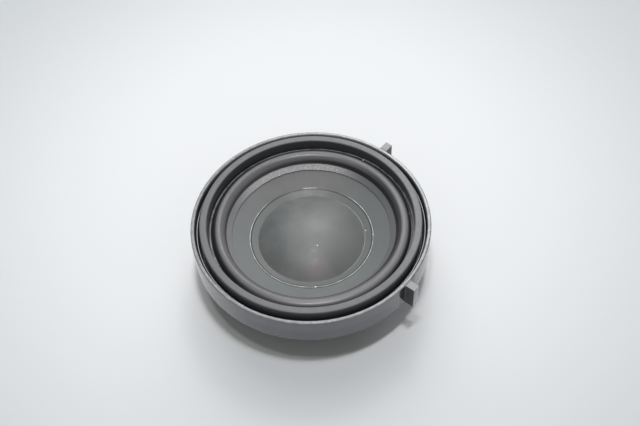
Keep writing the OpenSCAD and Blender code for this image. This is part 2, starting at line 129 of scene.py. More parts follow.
def smooth(mesh, angle=SHARP_ANGLE):
    mesh.polygons.foreach_set("use_smooth", [True] * len(mesh.polygons))
    mesh.set_sharp_from_angle(angle=math.radians(angle))
    mesh.update()


def plain_mesh(name, points, faces):
    """A mesh from points in millimetres."""
    mesh = bpy.data.meshes.new(name)
    mesh.from_pydata([tuple(c * MM for c in p) for p in points], [], faces)
    return mesh


def mesh_from(name, points, faces, angle=SHARP_ANGLE):
    """A smooth mesh from points in millimetres, with its faces turned outwards."""
    mesh = plain_mesh(name, points, faces)
    bm = bmesh.new()
    bm.from_mesh(mesh)
    bmesh.ops.recalc_face_normals(bm, faces=bm.faces)
    bm.to_mesh(mesh)
    bm.free()
    smooth(mesh, angle)
    return mesh


def turned(name, outline, steps=TURN_STEPS):
    """A turned mesh from a closed outline of (radius, height) points.

    A point on the axis becomes one corner."""
    points, rings = [], []
    for r, z in outline:
        if r < NEAR:
            rings.append([len(points)] * steps)
            points.append((0, 0, z))
        else:
            rings.append(list(range(len(points), len(points) + steps)))
            turns = [2 * math.pi * i / steps for i in range(steps)]
            points += [(r * math.cos(a), r * math.sin(a), z) for a in turns]
    faces = []
    for a, b in zip(rings, rings[1:] + rings[:1]):
        for i in range(steps):
            j = (i + 1) % steps
            face = list(dict.fromkeys((a[i], a[j], b[j], b[i])))
            if len(face) > 2:
                faces.append(face)
    return mesh_from(name, points, faces)


def pin_outline(radius, low, high):
    """The outline of a round pin on the axis."""
    return [(0, low), (radius, low), (radius, high), (0, high)]


def pin(radius, low, high):
    return turned("pin", pin_outline(radius, low, high), SMALL_STEPS)


def section(node, azimuth):
    """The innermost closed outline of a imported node, cut by the half plane at that azimuth.

    Its points are (radius, height) in millimetres."""
    bm = bmesh.new()
    bm.from_mesh(nodes[node].data)
    bmesh.ops.remove_doubles(bm, verts=bm.verts, dist=NEAR)
    a = math.radians(azimuth)
    out, side = Vector((math.cos(a), math.sin(a), 0)), Vector((-math.sin(a), math.cos(a), 0))
    for normal in (out, side):
        whole = bm.verts[:] + bm.edges[:] + bm.faces[:]
        cut = bmesh.ops.bisect_plane(bm, geom=whole, plane_co=(0, 0, 0), plane_no=normal, dist=NEAR / 10)
    edges = [e for e in cut["geom_cut"] if isinstance(e, bmesh.types.BMEdge)]
    edges = [e for e in edges if all(v.co.dot(out) > -NEAR for v in e.verts)]
    next_to = {}
    for e in edges:
        for v, w in (e.verts, reversed(e.verts)):
            next_to.setdefault(v, []).append(w)
    loops, seen = [], set()
    ends = [v for v in next_to if len(next_to[v]) == 1]
    for start in ends + list(next_to):
        if start in seen:
            continue
        loop, v = [], start
        while v is not None:
            seen.add(v)
            loop.append((max(v.co.dot(out), 0) / MM, v.co.z / MM))
            v = next((w for w in next_to[v] if w not in seen), None)
        loops.append(loop)
    bm.free()
    return min(loops, key=lambda loop: min(r for r, z in loop))


def tidy(outline, bend=0.2):
    """An outline without points that are very close or in line with their neighbours."""
    least = 0.01
    kept = []
    for p in outline:
        if not kept or math.dist(p, kept[-1]) > least:
            kept.append(p)
    if math.dist(kept[0], kept[-1]) <= least:
        kept.pop()
    return [p for i, p in enumerate(kept) if turn_at(kept, i) > math.radians(bend)]


def turn_at(outline, i):
    """How far the outline turns at its point i, in radians."""
    a, b, c = Vector(outline[i - 1]), Vector(outline[i]), Vector(outline[(i + 1) % len(outline)])
    if a == b or b == c:
        return 0
    return (b - a).angle(c - b)


def rounded(outline, radius, corner=CORNER_ANGLE):
    """The outline with each corner sharper than that angle rounded, where its sides leave room.

    radius is a number, or a function of the corner's (radius, height)."""
    result = []
    for i, p in enumerate(outline):
        turn = turn_at(outline, i)
        on_axis = p[0] < NEAR
        if turn < math.radians(corner) or on_axis:
            result.append(p)
            continue
        a, b, c = Vector(outline[i - 1]), Vector(p), Vector(outline[(i + 1) % len(outline)])
        wanted = radius(p) if callable(radius) else radius
        reach = wanted * math.tan(turn / 2)
        reach = min(reach, (a - b).length * MOST_OF_SIDE, (c - b).length * MOST_OF_SIDE)
        start, end = b + (a - b).normalized() * reach, b + (c - b).normalized() * reach
        for k in range(ROUND_STEPS + 1):
            t = k / ROUND_STEPS
            q = start * (1 - t) ** 2 + b * 2 * t * (1 - t) + end * t**2
            result.append(tuple(q))
    return result


def outline_of(node, radius, azimuth=0, corner=CORNER_ANGLE):
    """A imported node's outline, cleaned and with its corners rounded."""
    return rounded(tidy(section(node, azimuth)), radius, corner)


def combine(piece, mesh, operation):
    """Adds a mesh to a piece, or cuts it away."""
    other = link("other", mesh)
    modifier = piece.modifiers.new("cut", "BOOLEAN")
    modifier.operation = operation
    modifier.solver = "EXACT"
    modifier.object = other
    bpy.context.view_layer.update()
    done = bpy.data.meshes.new_from_object(piece.evaluated_get(bpy.context.evaluated_depsgraph_get()))
    piece.modifiers.clear()
    piece.data = done
    bpy.data.objects.remove(other)


def prism(name, outline, z0, z1, bevel=0.0):
    """An upright prism over a closed outline of (x, y) points, with its edges rounded."""
    bm = bmesh.new()
    corners = [bm.verts.new((x * MM, y * MM, z0 * MM)) for x, y in outline]
    base = bm.faces.new(corners)
    lifted = bmesh.ops.extrude_face_region(bm, geom=[base])
    top = [v for v in lifted["geom"] if isinstance(v, bmesh.types.BMVert)]
    bmesh.ops.translate(bm, vec=(0, 0, (z1 - z0) * MM), verts=top)
    bmesh.ops.recalc_face_normals(bm, faces=bm.faces)
    if bevel:
        sharp = [e for e in bm.edges if e.calc_face_angle(0) > math.radians(CORNER_ANGLE)]
        bmesh.ops.bevel(
            bm, geom=sharp, offset=bevel * MM, segments=BEVEL_STEPS, profile=0.5, affect="EDGES",
            clamp_overlap=True,
        )
    mesh = bpy.data.meshes.new(name)
    bm.to_mesh(mesh)
    bm.free()
    smooth(mesh)
    return mesh


def copies(name, mesh, places):
    """One mesh with a copy of the given one at each place, a matrix in millimetres."""
    bm = bmesh.new()
    for place in places:
        m = place.copy()
        m.translation = m.translation * MM
        copy = mesh.copy()
        copy.transform(m)
        bm.from_mesh(copy)
        bpy.data.meshes.remove(copy)
    made = bpy.data.meshes.new(name)
    bm.to_mesh(made)
    bm.free()
    smooth(made)
    return made


# Nodes of materials and of the world
def join(tree, value, socket):
    """Links a socket to another one, or sets it to a constant."""
    if isinstance(value, bpy.types.NodeSocket):
        tree.links.new(value, socket)
    elif isinstance(value, (tuple, list)) and len(value) == 3 and socket.type == "RGBA":
        socket.default_value = (*value, 1)
    else:
        socket.default_value = value


def add_node(tree, kind, sockets=(), out=0, **settings):
    """Adds a node and gives one of its outputs."""
    made = tree.nodes.new(kind)
    for key, value in settings.items():
        setattr(made, key, value)
    for key, value in dict(sockets).items():
        join(tree, value, made.inputs[key])
    return made.outputs[out] if made.outputs else None


def ramp(tree, value, low, high, a, b, smooth=True):
    """Goes from a to b while the value goes from low to high."""
    return add_node(
        tree, "ShaderNodeMapRange",
        {"Value": value, "From Min": low, "From Max": high, "To Min": a, "To Max": b},
        interpolation_type="SMOOTHSTEP" if smooth else "LINEAR",
    )


# Paints
COAT_ROUGHNESS = 0.1


class Paint:
    """One procedural material: a Principled shader whose colour, roughness and bump come from nodes."""

    def __init__(self, name, metallic=0.0, specular=0.5, coat=0.0, sheen=0.0):
        self.material = bpy.data.materials.new(name)
        self.material.use_nodes = True
        self.tree = self.material.node_tree
        self.tree.nodes.clear()
        self.output = self.tree.nodes.new("ShaderNodeOutputMaterial")
        self.shader = self.tree.nodes.new("ShaderNodeBsdfPrincipled")
        self.tree.links.new(self.shader.outputs[0], self.output.inputs[0])
        self.shader.inputs["Metallic"].default_value = metallic
        self.shader.inputs["Specular IOR Level"].default_value = specular
        self.shader.inputs["Coat Weight"].default_value = coat
        self.shader.inputs["Coat Roughness"].default_value = COAT_ROUGHNESS
        self.shader.inputs["Sheen Weight"].default_value = sheen
        self.place = self.node("ShaderNodeTexCoord", out="Object")
        self.height = None

    def node(self, kind, sockets=(), out=0, **settings):
        return add_node(self.tree, kind, sockets, out, **settings)

    def math(self, operation, a, b=0.0):
        return self.node("ShaderNodeMath", {0: a, 1: b}, operation=operation)

    def times(self, a, b):
        return self.math("MULTIPLY", a, b)

    def stretched(self, x=1, y=1, z=1):
        return self.node("ShaderNodeVectorMath", {0: self.place, 1: (x, y, z)}, operation="MULTIPLY")

    def axis(self, which):
        return self.node("ShaderNodeSeparateXYZ", {0: self.place}, out=which)

    def away(self, x=0, y=0):
        """The distance, seen from above, from (x, y) in millimetres."""
        ends = {0: self.stretched(z=0), 1: (x * MM, y * MM, 0)}
        return self.node("ShaderNodeVectorMath", ends, out="Value", operation="DISTANCE")

    def noise(self, size, detail=3, roughness=0.5, distortion=0.0, vector=None):
        """Noise from 0 to 1 whose features are about that many millimetres across."""
        return self.node("ShaderNodeTexNoise", {
            "Vector": vector or self.place, "Scale": 1 / (size * MM), "Detail": detail,
            "Roughness": roughness, "Distortion": distortion,
        })

    def cells(self, size):
        return self.node("ShaderNodeTexVoronoi", {"Vector": self.place, "Scale": 1 / (size * MM)})

    def between(self, value, low, high, a=0.0, b=1.0, smooth=True):
        return ramp(self.tree, value, low, high, a, b, smooth)

    def over(self, value, low, high, a=0.0, b=1.0):
        """Goes from a to b while a length goes from low to high in millimetres."""
        return self.between(value, low * MM, high * MM, a, b)

    def band(self, value, start, full, fade, end):
        """1 where a length is from full to fade in millimetres, and 0 before start and past end."""
        return self.times(self.over(value, start, full), self.over(value, end, fade))

    def spot(self, x, y, size, soft):
        """1 inside a round spot at (x, y) in millimetres, falling to 0 over the soft width."""
        return self.over(self.away(x, y), size + soft, size)

    def blend(self, a, b, share):
        return self.node("ShaderNodeMix", {0: share, 6: a, 7: b}, out=2, data_type="RGBA")

    def bump(self, height, depth):
        """Adds a bump whose height from 0 to 1 stands for that many millimetres."""
        sockets = {"Height": height, "Distance": depth * MM}
        if self.height is not None:
            sockets["Normal"] = self.height
        self.height = self.node("ShaderNodeBump", sockets)

    def done(self, colour, roughness):
        join(self.tree, colour, self.shader.inputs["Base Color"])
        join(self.tree, roughness, self.shader.inputs["Roughness"])
        if self.height is not None:
            join(self.tree, self.height, self.shader.inputs["Normal"])
        return self.material


# Radii and heights that paints and meshes follow
LIP_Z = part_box("mounting_ring")[1].z / MM
LIP_IN = 43.5
SKIRT_R = 45
LUG_R = 48.8
LUG_T = 2.8
RIM_R = 42.19
RIM_Z = 20.19
BEAD_R = 42.95
BEAD_Z = 24.0
GASKET_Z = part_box("front_gasket")[1].z / MM
GASKET_IN = 38.85
CREASE_R = 32.1
ROLL_R = 34.9
ROLL_OFF = (0.4, -0.4)
FOOT_OFF = (0.35, 0)
CAP_R = 20.3
CAP_OUT = 23.7

# Specks of dust and glue, with one painted glint on the cap's glue line, each (x, y, radius)
SPECK_EDGE = 0.12
CAP_SPECKS_AND_GLINT = ((1.6, -7.9, 0.18), (20.9, 0.9, 0.15), (-0.7, -23.4, 0.32), (23.3, -2.2, 0.2))
RUBBER_SPECKS = ((23.7, 30.1, 0.22), (-35.6, -13.5, 0.15), (-28.8, -24.0, 0.15), (37.4, 1.0, 0.14))


def moulded_plastic():
    """The ring: satin plastic, grey with dust outside, with painted light, shade and reflections on its
    skirt, channel and lugs, and a lip paler from scuffs and a painted sheen.
    """
    p = Paint("moulded_plastic", specular=1.0)
    x, y = p.axis(0), p.axis(1)
    tone = p.blend((0.122, 0.126, 0.137), (0.145, 0.149, 0.160), p.noise(14, 3))
    # Painted reflection: the skirt paler towards its left and right ends.
    tone = p.blend(tone, (0.2, 0.21, 0.213), p.over(x, -26, -42, 0, 0.75))
    tone = p.blend(tone, (0.2, 0.205, 0.213), p.over(x, 35, 43, 0, 0.75))
    # Painted reflection of the shadow below: the skirt darker low down at the front.
    low = p.over(p.axis(2), LIP_Z - 3.5, LIP_Z - 6.5, 0, 0.4)
    tone = p.blend(tone, (0.08, 0.083, 0.092), p.times(low, p.over(y, -30, -40)))
    # Painted shade inside the ring's channel, raised to painted light towards the back, where the inner wall
    # faces the front.
    inside = p.over(p.away(), LIP_IN + 0.2, LIP_IN + 0.05)
    wall = p.blend((0.085, 0.09, 0.1), (0.19, 0.2, 0.21), p.over(y, 12, 34))
    tone = p.blend(tone, wall, inside)
    # Painted light: a paler band near the top of the inner wall at the back.
    edge = p.times(inside, p.over(p.axis(2), LIP_Z - 1.5, LIP_Z - 0.8))
    tone = p.blend(tone, (0.34, 0.345, 0.35), p.times(edge, p.over(y, 12, 30)))
    # Painted shade: the lugs' sides, and the skirt close beside the lugs, nearly black.
    on_lug = p.band(p.away(), SKIRT_R + 0.02, SKIRT_R + 0.12, LUG_R - 0.3, LUG_R - 0.15)
    from_lugs = [p.math("ABSOLUTE", p.math(way, x, y)) for way in ("SUBTRACT", "ADD")]
    off_lug = p.math("MINIMUM", *from_lugs)
    corner = p.over(off_lug, (LUG_T / 2 + 3.5) * math.sqrt(2), (LUG_T / 2 + 2.4) * math.sqrt(2))
    corner = p.times(corner, p.over(x, 20, 25))
    corner = p.times(corner, p.over(p.away(), SKIRT_R - 0.3, SKIRT_R - 0.1))
    tone = p.blend(tone, (0.02, 0.022, 0.026), p.math("MAXIMUM", on_lug, corner))
    # Painted highlight on the lugs' outer end faces.
    tone = p.blend(tone, (0.27, 0.28, 0.285), p.over(p.away(), LUG_R - 0.15, LUG_R - 0.05))
    # The lip: paler from scuffs and from a painted sheen, with a painted highlight on the lugs' tops.
    on_lip = p.over(p.axis(2), LIP_Z - 0.3, LIP_Z - 0.12)
    rubbed = p.between(p.noise(1.6, 5, 0.6), 0.42, 0.62)
    lip = p.blend((0.16, 0.165, 0.172), (0.245, 0.25, 0.255), rubbed)
    lip = p.blend(lip, (0.34, 0.35, 0.35), p.over(p.away(), SKIRT_R + 0.1, SKIRT_R + 0.5))
    colour = p.blend(tone, lip, on_lip)
    dull = p.math("ADD", p.times(on_lip, 0.15), p.times(p.math("MAXIMUM", inside, on_lug), 0.4))
    roughness = p.math("ADD", p.between(p.noise(5, 3), 0.3, 0.7, 0.1, 0.15), dull)
    p.bump(p.noise(1.2, 2), 0.002)
    return p.done(colour, roughness)


def textured_plastic():
    """The basket: black glass-filled plastic with a fine texture, and a painted highlight along its rim's
    bead towards the front.
    """
    p = Paint("textured_plastic")
    colour = p.blend((0.07, 0.073, 0.08), (0.09, 0.093, 0.1), p.noise(6, 4))
    # Painted highlight along the top edge of the rim's bead, fading out towards the back.
    on_edge = p.times(
        p.over(p.away(), BEAD_R - 0.35, BEAD_R - 0.25), p.over(p.axis(2), BEAD_Z - 0.3, BEAD_Z - 0.15)
    )
    colour = p.blend(colour, (0.5, 0.51, 0.52), p.times(on_edge, p.over(p.axis(1), 14, 7)))
    roughness = p.between(p.noise(2, 3), 0.3, 0.7, 0.36, 0.48)
    p.bump(p.noise(0.35, 4, 0.7), 0.012)
    return p.done(colour, roughness)


def gasket_rubber():
    """Black rubber, greyed with dust and a painted sheen on its flat top, painted lighter on the right, with
    a little painted light on its outer wall.
    """
    p = Paint("gasket_rubber", sheen=0.05)
    # The flat top: grey from dust and from a painted sheen, with painted light towards the right.
    top = p.over(p.axis(2), GASKET_Z - 0.5, GASKET_Z - 0.12)
    dust_and_sheen = p.blend((0.126, 0.131, 0.133), (0.15, 0.155, 0.158), p.noise(5, 4, 0.6))
    dust_and_sheen = p.blend(dust_and_sheen, (0.19, 0.195, 0.2), p.over(p.axis(0), 20, 42, 0, 0.8))
    # Painted light: the outer wall a little lighter than the inner one, down in the shaded channel.
    outside = p.over(p.away(), GASKET_IN + 2, GASKET_IN + 2.5)
    wall = p.blend((0.07, 0.075, 0.083), (0.09, 0.095, 0.105), outside)
    roughness = p.between(p.noise(1.5, 4), 0.3, 0.7, 0.38, 0.48)
    p.bump(p.noise(0.3, 4, 0.7), 0.01)
    p.bump(p.noise(4, 2), 0.04)
    return p.done(p.blend(wall, dust_and_sheen, top), roughness)


def bare_rubber(p):
    """The surround's colour on its roll and outer edge: a painted highlight on the crest, painted shade in
    the crease and on the flanks, and a painted highlight at the bottom of the gasket's wall, with dust.
    """
    rubber = p.blend((0.122, 0.12, 0.127), (0.148, 0.146, 0.154), p.noise(7, 4, 0.6))
    away = p.away(*ROLL_OFF)
    # Painted highlight along the roll's crest, strongest towards the front right.
    crest = p.band(away, ROLL_R - 0.9, ROLL_R - 0.2, ROLL_R + 0.5, ROLL_R + 1.3)
    to_right = p.over(p.math("SUBTRACT", p.axis(0), p.axis(1)), 5, 35, 0, 0.55)
    rubber = p.blend(rubber, (0.25, 0.248, 0.256), p.times(crest, to_right))
    # Painted shade in the crease beside the roll, wider on the right, and on the roll's outer flank, less in
    # front.
    crease = p.over(away, CREASE_R + 1.0, CREASE_R + 0.25)
    wider = p.over(away, CREASE_R + 2.0, CREASE_R + 1.0)
    crease = p.math("MAXIMUM", crease, p.times(wider, p.over(p.axis(0), 16, 31, 0, 0.8)))
    outer_flank = p.over(away, ROLL_R + 0.8, ROLL_R + 1.8)
    dark = p.times(outer_flank, p.over(p.axis(1), -36, -20, 0.4, 1))
    rubber = p.blend(rubber, (0.022, 0.023, 0.026), p.math("MAXIMUM", crease, dark))
    dust = p.times(p.between(p.cells(1.1), 0.13, 0.07), p.between(p.noise(4, 2), 0.45, 0.6))
    rubber = p.blend(rubber, (0.3, 0.31, 0.31), p.times(dust, outer_flank))
    # Painted highlight: a thin broken pale line at the bottom of the gasket's wall.
    foot_highlight = p.band(p.away(*FOOT_OFF), GASKET_IN - 0.8, GASKET_IN - 0.7, GASKET_IN - 0.3, GASKET_IN - 0.2)
    foot_highlight = p.times(foot_highlight, p.between(p.noise(3, 3), 0.3, 0.6, 0.4, 1))
    rubber = p.blend(rubber, (0.27, 0.28, 0.285), foot_highlight)
    for x, y, size in RUBBER_SPECKS:
        rubber = p.blend(rubber, (0.75, 0.76, 0.75), p.spot(x, y, size, SPECK_EDGE))
    return rubber


def surround_rubber():
    """Smooth rubber, with a paler film of dried glue over the skirt that lies on the cone."""
    p = Paint("surround_rubber")
    rubber = bare_rubber(p)
    grain = p.noise(0.45, 5, 0.7)
    film = p.blend((0.155, 0.157, 0.163), (0.235, 0.237, 0.245), p.over(p.axis(0), 25, -25))
    film = p.blend(film, (0.12, 0.122, 0.128), p.between(grain, 0.45, 0.7, 0, 0.5))
    at_back = p.times(p.over(p.axis(1), 12, 30), p.over(p.axis(0), 24, 10, 0.15, 1))
    film = p.blend(film, (0.6, 0.59, 0.6), p.times(at_back, p.between(grain, 0.3, 0.7, 0.35, 1)))
    speck = p.times(p.between(p.cells(0.75), 0.3, 0.18), p.between(p.noise(2.5, 2), 0.42, 0.55))
    speck = p.times(speck, p.times(p.over(p.axis(1), 21, 28), p.over(p.axis(0), 18, 12)))
    film = p.blend(film, (0.85, 0.85, 0.85), speck)
    glued = p.over(p.away(), CREASE_R + 0.05, CREASE_R - 0.25)
    roughness = p.math("ADD", p.between(p.noise(2, 4), 0.3, 0.7, 0.3, 0.38), p.times(glued, 0.1))
    p.bump(grain, 0.006)
    p.bump(p.times(glued, p.noise(1.1, 4, 0.6)), 0.03)
    return p.done(p.blend(rubber, film, glued), roughness)


def cone_plastic():
    """Matt plastic, clouded from cool in front to warm behind, with painted light on the left and painted
    shade on the right.
    """
    p = Paint("cone_plastic")
    cool = p.blend((0.172, 0.190, 0.188), (0.186, 0.198, 0.196), p.between(p.noise(9, 3), 0.35, 0.65))
    warm = p.blend((0.190, 0.190, 0.190), (0.206, 0.203, 0.205), p.between(p.noise(6, 3), 0.35, 0.65))
    cloud = p.between(p.noise(16, 2), 0.3, 0.7, -0.25, 0.25)
    cloud = p.math("ADD", p.over(p.axis(1), -25, 40), cloud)
    tone = p.blend(cool, warm, p.between(cloud, 0.15, 1.0))
    # Painted light on the left and painted shade on the right.
    tone = p.blend(tone, (0.225, 0.235, 0.237), p.over(p.axis(0), -5, -28, 0, 0.5))
    tone = p.blend(tone, (0.14, 0.15, 0.15), p.over(p.axis(0), 10, 30, 0, 0.4))
    fine = p.noise(0.5, 4, 0.7)
    colour = p.blend(tone, (0.13, 0.14, 0.138), p.between(fine, 0.45, 0.8, 0, 0.3))
    p.bump(fine, 0.006)
    p.bump(p.noise(6, 2), 0.03)
    return p.done(colour, p.between(p.noise(3, 3), 0.3, 0.7, 0.5, 0.6))


def cap_plastic():
    """The dust cap, cloudy, with painted highlights, shade and reflections on its dome and flange, a pale
    line of glue with painted glints round its edge, and painted shade inside that.
    """
    p = Paint("cap_plastic")
    cloud = p.between(p.noise(11, 3, 0.5, 0.4), 0.35, 0.65)
    tone = p.blend((0.116, 0.128, 0.128), (0.166, 0.175, 0.171), cloud)
    # Painted highlight: a broad lighter patch on the dome, and painted light towards its right.
    tone = p.blend(tone, (0.195, 0.204, 0.196), p.times(p.spot(7, -4, 2, 15), 0.6))
    tone = p.blend(tone, (0.2, 0.205, 0.2), p.over(p.axis(0), 2, 20, 0, 0.3))
    # Painted reflection: the dome warmer towards the front.
    tone = p.blend(tone, (0.158, 0.15, 0.152), p.over(p.axis(1), -5, -17, 0, 0.45))
    # Painted highlight near the top of the dome.
    tone = p.blend(tone, (0.2, 0.208, 0.204), p.times(p.spot(4, 10, 2, 12), 0.4))
    # Painted shade at the dome's left edge.
    tone = p.blend(tone, (0.085, 0.09, 0.09), p.over(p.axis(0), -8, -20, 0, 0.4))
    # Painted highlights: two small lighter patches on the dome.
    tone = p.blend(tone, (0.215, 0.223, 0.219), p.times(p.spot(10, 8, 1, 8), 0.35))
    tone = p.blend(tone, (0.205, 0.213, 0.209), p.times(p.spot(-2, 4, 1, 8), 0.3))
    # Painted reflection: a pinkish patch at the front of the dome.
    colour = p.blend(tone, (0.235, 0.198, 0.2), p.times(p.spot(0.5, -16.5, 1, 5.5), 0.6))
    fine = p.noise(0.45, 4, 0.7)
    colour = p.blend(colour, (0.11, 0.12, 0.118), p.between(fine, 0.5, 0.8, 0, 0.25))
    # Painted light: the flange lighter than the dome's edge, most on the left.
    rim = p.blend((0.148, 0.154, 0.153), (0.2, 0.208, 0.206), p.over(p.axis(0), -6, -18))
    colour = p.blend(colour, rim, p.times(p.over(p.away(), CAP_R, CAP_R + 0.3), 0.75))
    # Painted highlight: a thin broken pale line where the dome meets the flange on the right.
    foot_highlight = p.band(p.away(), CAP_R - 0.1, CAP_R + 0.02, CAP_R + 0.18, CAP_R + 0.3)
    foot_highlight = p.times(foot_highlight, p.over(p.axis(0), 8, 14))
    foot_highlight = p.times(foot_highlight, p.between(p.noise(2.5, 3), 0.35, 0.6, 0.3, 1))
    colour = p.blend(colour, (0.3, 0.31, 0.31), foot_highlight)
    # Painted shade: a dark band along the flange's edge, under the glue line.
    colour = p.blend(colour, (0.045, 0.048, 0.049), p.over(p.away(), CAP_OUT - 0.95, CAP_OUT - 0.8))
    # A pale line of glue round the flange's edge, broken by noise and fainter at the back, with a painted
    # glint at the back.
    glue = p.over(p.away(), CAP_OUT - 0.44, CAP_OUT - 0.36)
    broken = p.between(p.noise(3.2, 4, 0.6), 0.35, 0.65, 0.6, 1)
    broken = p.times(broken, p.over(p.axis(1), 21, 13, 0.2, 1))
    broken = p.math("MAXIMUM", broken, p.spot(1.6, 23.3, 2.0, 1.5))
    colour = p.blend(colour, (0.64, 0.66, 0.66), p.times(glue, broken))
    # Specks of dust and glue, and one painted glint on the glue line at the front.
    for x, y, size in CAP_SPECKS_AND_GLINT:
        colour = p.blend(colour, (0.85, 0.86, 0.84), p.spot(x, y, size, SPECK_EDGE))
    p.bump(fine, 0.006)
    p.bump(p.noise(7, 2), 0.05)
    return p.done(colour, p.between(p.noise(3, 3), 0.3, 0.7, 0.4, 0.48))


def foam():
    p = Paint("foam", specular=0.3)
    p.bump(p.cells(0.5), 0.08)
    return p.done(p.blend((0.015, 0.015, 0.016), (0.03, 0.03, 0.031), p.cells(0.5)), 0.85)


def turned_steel(name, colour, roughness):
    """Plated steel with the fine rings of turning round the axis."""
    p = Paint(name, metallic=1.0)
    along = p.node("ShaderNodeCombineXYZ", {1: p.away(), 2: p.axis(2)})
    tone = p.blend(tuple(c * 0.82 for c in colour), colour, p.noise(5, 4))
    p.bump(p.noise(0.12, 2, vector=along), 0.004)
    return p.done(tone, p.between(p.noise(2.5, 4), 0.3, 0.7, roughness - 0.06, roughness + 0.08))


def plated(name, colour, roughness, size=2.0):
    """Plated or drawn metal with light handling marks."""
    p = Paint(name, metallic=1.0)
    tone = p.blend(tuple(c * 0.75 for c in colour), colour, p.noise(size, 4, 0.6))
    p.bump(p.noise(0.25, 3), 0.004)
    return p.done(tone, p.between(p.noise(1.2, 4), 0.3, 0.7, roughness - 0.07, roughness + 0.1))


def woven_cloth():
    """The spider: resin-dipped cloth with a plain weave."""
    p = Paint("woven_cloth", specular=0.35)
    pitch = 0.42
    across, along = (p.math("SINE", p.times(p.axis(k), math.pi / (pitch * MM))) for k in (0, 1))
    weave = p.between(p.times(across, along), -1, 1, smooth=False)
    tone = p.blend((0.30, 0.18, 0.05), (0.56, 0.38, 0.14), weave)
    colour = p.blend(tone, (0.4, 0.24, 0.07), p.between(p.noise(5, 4), 0.4, 0.7, 0, 0.6))
    p.bump(weave, 0.06)
    return p.done(colour, 0.62)


def laminate():
    """Brown paper laminate with pressed fibres."""
    p = Paint("laminate")
    fibres = p.noise(0.7, 5, 0.6, vector=p.stretched(1, 4, 1))
    colour = p.blend((0.16, 0.075, 0.03), (0.3, 0.15, 0.065), fibres)
    p.bump(fibres, 0.01)
    return p.done(colour, p.between(p.noise(2, 3), 0.3, 0.7, 0.4, 0.55))


def kraft_paper():
    p = Paint("kraft_paper", specular=0.25)
    fibres = p.noise(0.5, 5, 0.7, vector=p.stretched(1, 1, 3))
    p.bump(fibres, 0.02)
    return p.done(p.blend((0.3, 0.18, 0.09), (0.46, 0.3, 0.17), fibres), 0.85)


def amber_film():
    p = Paint("amber_film", coat=0.4)
    colour = p.blend((0.42, 0.24, 0.05), (0.56, 0.36, 0.1), p.noise(4, 3))
    return p.done(colour, p.between(p.noise(2), 0.3, 0.7, 0.2, 0.3))


def wound_wire():
    """Enamelled copper wire: fine turns one above another."""
    p = Paint("wound_wire", metallic=1.0)
    pitch = 0.2
    turns = p.math("SINE", p.times(p.axis(2), 2 * math.pi / (pitch * MM)))
    turns = p.between(turns, -1, 1, smooth=False)
    p.bump(turns, 0.05)
    return p.done(p.blend((0.3, 0.1, 0.04), (0.62, 0.26, 0.1), turns), 0.3)


def braided_copper():
    p = Paint("braided_copper", metallic=1.0)
    strands = p.noise(0.22, 3, 0.6)
    colour = p.blend((0.36, 0.17, 0.07), (0.68, 0.4, 0.2), strands)
    p.bump(strands, 0.02)
    return p.done(colour, p.between(strands, 0.3, 0.7, 0.32, 0.5))


def bright_solder():
    p = Paint("bright_solder", metallic=1.0)
    ripple = p.noise(0.5, 3)
    colour = p.blend((0.42, 0.42, 0.43), (0.62, 0.62, 0.62), ripple)
    p.bump(ripple, 0.03)
    return p.done(colour, p.between(ripple, 0.3, 0.7, 0.16, 0.32))


paint = {
    "ring_plastic": moulded_plastic(),
    "basket_plastic": textured_plastic(),
    "seal_foam": foam(),
    "screw_steel": plated("zinc_steel", (0.52, 0.52, 0.54), 0.34),
    "gasket_rubber": gasket_rubber(),
    "surround_rubber": surround_rubber(),
    "cone_plastic": cone_plastic(),
    "cap_plastic": cap_plastic(),
    "former_film": amber_film(),
    "collar_paper": kraft_paper(),
    "copper_wire": wound_wire(),
    "eyelet_brass": plated("brass", (0.66, 0.5, 0.22), 0.28),
    "spider_cloth": woven_cloth(),
    "cup_steel": turned_steel("turned_zinc_steel", (0.55, 0.56, 0.58), 0.32),
    "magnet_nickel": plated("nickel", (0.62, 0.6, 0.57), 0.18, 6),
    "board_paper": laminate(),
    "tab_tin": plated("tin", (0.66, 0.64, 0.58), 0.3),
    "solder": bright_solder(),
    "lead_braid": braided_copper(),
}
slot_of = {row["node"]: row["material_slot"] for row in frame["record"]["subparts"]}
for name, piece in nodes.items():
    piece.data.materials.clear()
    piece.data.materials.append(paint[slot_of[name]])
    smooth(piece.data)


def dress(piece, body, node):
    """Gives a piece the paint of the node that it stands for, and its body if it has one."""
    slot = slot_of[node]
    piece.data.materials.clear()
    piece.data.materials.append(paint[slot])
    if body:
        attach(piece, body)
    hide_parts(node)


# Mounting ring with two lugs and four screw holes
LIP_ROUND = 0.28
LEDGE_ROUND = 0.12
LEDGE_OUT = 40
LUG_ANGLE = 45
LUG_H = 10.5
LUG_INTO = 1
LUG_ROOT = 0.2
LUG_ROUND = 0.25
LUG_SUNK = 0.03
SCREW_AT = 38.5
SCREW_HOLE_R = 1.25
SCREW_HOLE_Z = (15, 20)
SCREW_ANGLES = (45, 135, 225, 315)


def around(angle, distance=0, height=0):
    """The matrix in millimetres that puts a thing made at the origin at that angle round the axis."""
    return Matrix.Rotation(math.radians(angle), 4, "Z") @ Matrix.Translation((distance, 0, height))


def lug_outline(skirt_r, far):
    """A lug seen from above, along +X, wider where it meets the skirt."""
    half = LUG_T / 2
    root_x = math.sqrt(skirt_r**2 - (half + LUG_ROOT) ** 2)
    flare = [(skirt_r - LUG_INTO, half + LUG_ROOT)]
    for k in range(ROUND_STEPS + 1):
        s = math.sin(math.pi / 2 * k / ROUND_STEPS)
        flare.append((root_x + LUG_ROOT * s, half + LUG_ROOT * (1 - s)))
    side = flare + [(far, half)]
    return [(x, -y) for x, y in side] + side[::-1]


